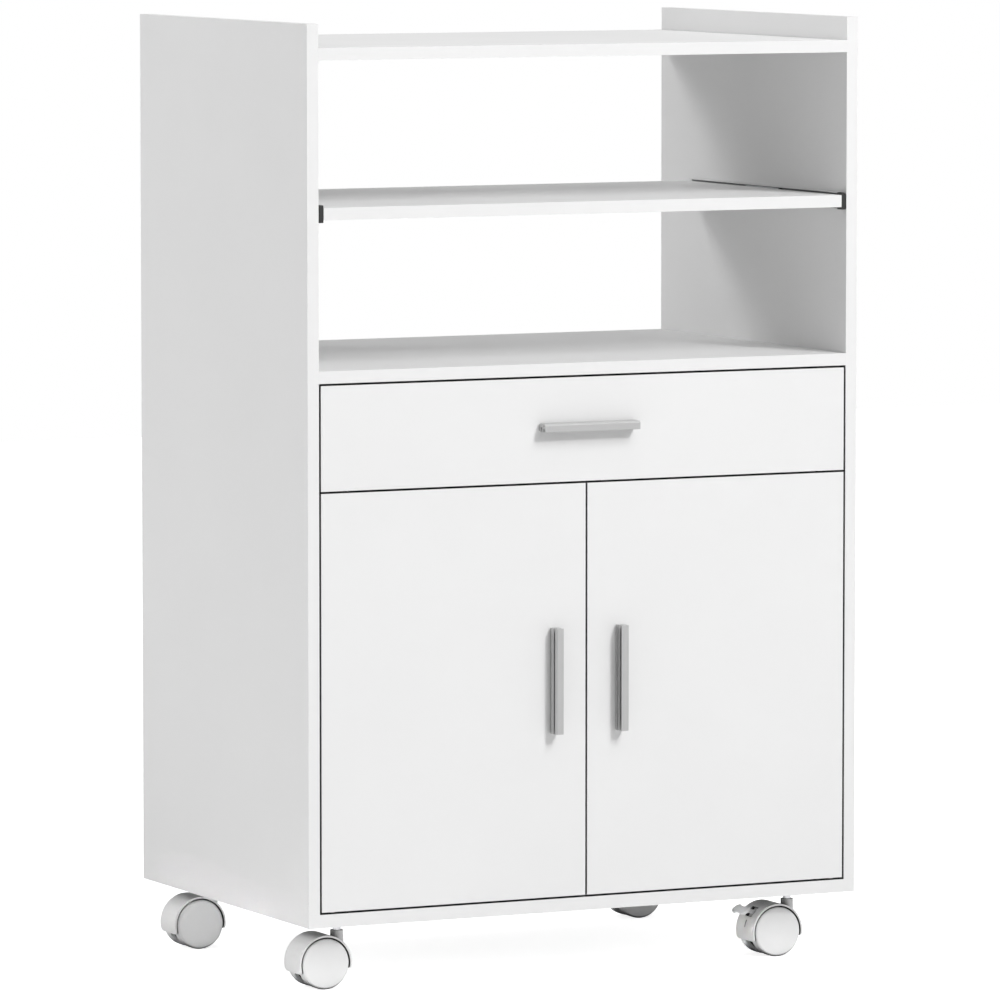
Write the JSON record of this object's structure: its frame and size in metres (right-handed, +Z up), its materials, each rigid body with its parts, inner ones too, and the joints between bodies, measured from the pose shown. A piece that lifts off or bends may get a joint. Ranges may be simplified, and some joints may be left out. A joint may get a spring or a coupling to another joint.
{
  "type": "microwave cart",
  "caption": "White kitchen cart on casters: open top bay, sliding shelf on ball slides, drawer, cupboard with doors, and bar handles.",
  "frame": {"origin": "middle of the overall box's footprint, on the floor under the wheels", "axes": "+X to the right seen from the front, +Y from the front to the back, +Z up"},
  "size_m": [0.6, 0.414, 0.938],
  "materials": {
    "white_board": "white melamine film on particle board, satin",
    "hardboard": "white painted hardboard, matte",
    "zinc": "zinc plated, dull",
    "screw_steel": "zinc plated, dull",
    "rail_steel": "white powder coat, satin",
    "black_plastic": "moulded, matte",
    "white_plastic": "moulded, glossy",
    "wheel_nylon": "moulded, smooth",
    "nylon": "moulded, smooth",
    "bar_aluminium": "anodised, fine matte",
    "chrome_steel": "polished",
    "axle_steel": "drawn wire"
  },
  "bodies": {
    "carcass": {"left_side_panel": "white_board", "right_side_panel": "white_board", "base_panel": "white_board", "divider_rail": "white_board", "cupboard_top": "white_board", "top_shelf": "white_board", "back_panel": "hardboard", "inner_shelf": "white_board", "shelf_pins": "zinc", "cam_fasteners": "zinc", "carcass_screws": "screw_steel", "shelf_slide_rails": "rail_steel", "drawer_slide_rails": "rail_steel", "door_pivot_plates": "zinc", "door_catch": "white_plastic", "caster_inserts": "zinc", "caster_stems": "chrome_steel"},
    "shelf": {"sliding_shelf": "white_board", "left_shelf_runner": "rail_steel", "right_shelf_runner": "rail_steel", "shelf_runner_caps": "black_plastic", "shelf_screws": "screw_steel"},
    "shelf_cages": {"shelf_ball_cages": "zinc"},
    "drawer_cages": {"drawer_ball_cages": "zinc"},
    "drawer": {"drawer_front": "white_board", "drawer_left_side": "white_board", "drawer_right_side": "white_board", "drawer_back": "white_board", "drawer_bottom": "hardboard", "left_drawer_runner": "rail_steel", "right_drawer_runner": "rail_steel", "drawer_handle": "bar_aluminium", "drawer_screws": "screw_steel"},
    "left_door_leaf": {"left_door": "white_board", "left_door_handle": "bar_aluminium", "left_door_bushes": "nylon", "left_door_screws": "screw_steel", "left_door_strike": "zinc"},
    "right_door_leaf": {"right_door": "white_board", "right_door_handle": "bar_aluminium", "right_door_bushes": "nylon", "right_door_screws": "screw_steel", "right_door_strike": "zinc"},
    "front_left_caster": {"front_left_hood": "white_plastic", "front_left_axle": "axle_steel"},
    "front_left_outer": {"front_left_outer_wheel": "wheel_nylon"},
    "front_left_inner": {"front_left_inner_wheel": "wheel_nylon"},
    "front_right_caster": {"front_right_hood": "white_plastic", "front_right_axle": "axle_steel"},
    "front_right_outer": {"front_right_outer_wheel": "wheel_nylon"},
    "front_right_inner": {"front_right_inner_wheel": "wheel_nylon"},
    "rear_left_caster": {"rear_left_hood": "white_plastic", "rear_left_axle": "axle_steel"},
    "rear_left_outer": {"rear_left_outer_wheel": "wheel_nylon"},
    "rear_left_inner": {"rear_left_inner_wheel": "wheel_nylon"},
    "rear_right_caster": {"rear_right_hood": "white_plastic", "rear_right_axle": "axle_steel"},
    "rear_right_outer": {"rear_right_outer_wheel": "wheel_nylon"},
    "rear_right_inner": {"rear_right_inner_wheel": "wheel_nylon"},
    "brake": {"brake_lever": "white_plastic"}
  },
  "joints": [
    {"name": "shelf_slide", "type": "slide", "parent": "carcass", "child": "shelf", "axis": [0, -1, 0], "range_m": [0, 0.24]},
    {"name": "shelf_cage_slide", "type": "slide", "parent": "carcass", "child": "shelf_cages", "axis": [0, -1, 0], "range_m": [0, 0.12]},
    {"name": "drawer_slide", "type": "slide", "parent": "carcass", "child": "drawer", "axis": [0, -1, 0], "range_m": [0, 0.24]},
    {"name": "drawer_cage_slide", "type": "slide", "parent": "carcass", "child": "drawer_cages", "axis": [0, -1, 0], "range_m": [0, 0.12]},
    {"name": "left_door_hinge", "type": "hinge", "parent": "carcass", "child": "left_door_leaf", "pos_m": [-0.2739, -0.187, 0.28], "axis": [0, 0, -1], "range_deg": [0, 110]},
    {"name": "right_door_hinge", "type": "hinge", "parent": "carcass", "child": "right_door_leaf", "pos_m": [0.2739, -0.187, 0.28], "axis": [0, 0, 1], "range_deg": [0, 110]},
    {"name": "front_left_swivel", "type": "hinge", "parent": "carcass", "child": "front_left_caster", "pos_m": [-0.2487, -0.1462, 0.045], "axis": [0, 0, 1], "continuous": true},
    {"name": "front_left_outer_roll", "type": "hinge", "parent": "front_left_caster", "child": "front_left_outer", "pos_m": [-0.2687, -0.1462, 0.025], "axis": [0, 1, 0], "continuous": true},
    {"name": "front_left_inner_roll", "type": "hinge", "parent": "front_left_caster", "child": "front_left_inner", "pos_m": [-0.2687, -0.1462, 0.025], "axis": [0, 1, 0], "continuous": true},
    {"name": "front_right_swivel", "type": "hinge", "parent": "carcass", "child": "front_right_caster", "pos_m": [0.2487, -0.1462, 0.045], "axis": [0, 0, 1], "continuous": true},
    {"name": "front_right_outer_roll", "type": "hinge", "parent": "front_right_caster", "child": "front_right_outer", "pos_m": [0.2287, -0.1462, 0.025], "axis": [0, 1, 0], "continuous": true},
    {"name": "front_right_inner_roll", "type": "hinge", "parent": "front_right_caster", "child": "front_right_inner", "pos_m": [0.2287, -0.1462, 0.025], "axis": [0, 1, 0], "continuous": true},
    {"name": "rear_left_swivel", "type": "hinge", "parent": "carcass", "child": "rear_left_caster", "pos_m": [-0.2487, 0.154, 0.045], "axis": [0, 0, 1], "continuous": true},
    {"name": "rear_left_outer_roll", "type": "hinge", "parent": "rear_left_caster", "child": "rear_left_outer", "pos_m": [-0.2687, 0.154, 0.025], "axis": [0, 1, 0], "continuous": true},
    {"name": "rear_left_inner_roll", "type": "hinge", "parent": "rear_left_caster", "child": "rear_left_inner", "pos_m": [-0.2687, 0.154, 0.025], "axis": [0, 1, 0], "continuous": true},
    {"name": "rear_right_swivel", "type": "hinge", "parent": "carcass", "child": "rear_right_caster", "pos_m": [0.2487, 0.154, 0.045], "axis": [0, 0, 1], "continuous": true},
    {"name": "rear_right_outer_roll", "type": "hinge", "parent": "rear_right_caster", "child": "rear_right_outer", "pos_m": [0.2287, 0.154, 0.025], "axis": [0, 1, 0], "continuous": true},
    {"name": "rear_right_inner_roll", "type": "hinge", "parent": "rear_right_caster", "child": "rear_right_inner", "pos_m": [0.2287, 0.154, 0.025], "axis": [0, 1, 0], "continuous": true},
    {"name": "brake_press", "type": "hinge", "parent": "front_right_caster", "child": "brake", "pos_m": [0.2177, -0.1462, 0.042], "axis": [0, -1, 0], "range_deg": [0, 8]}
  ],
  "couplings": [
    {"joint": "shelf_cage_slide", "follows": "shelf_slide", "ratio": 0.5},
    {"joint": "drawer_cage_slide", "follows": "drawer_slide", "ratio": 0.5}
  ]
}
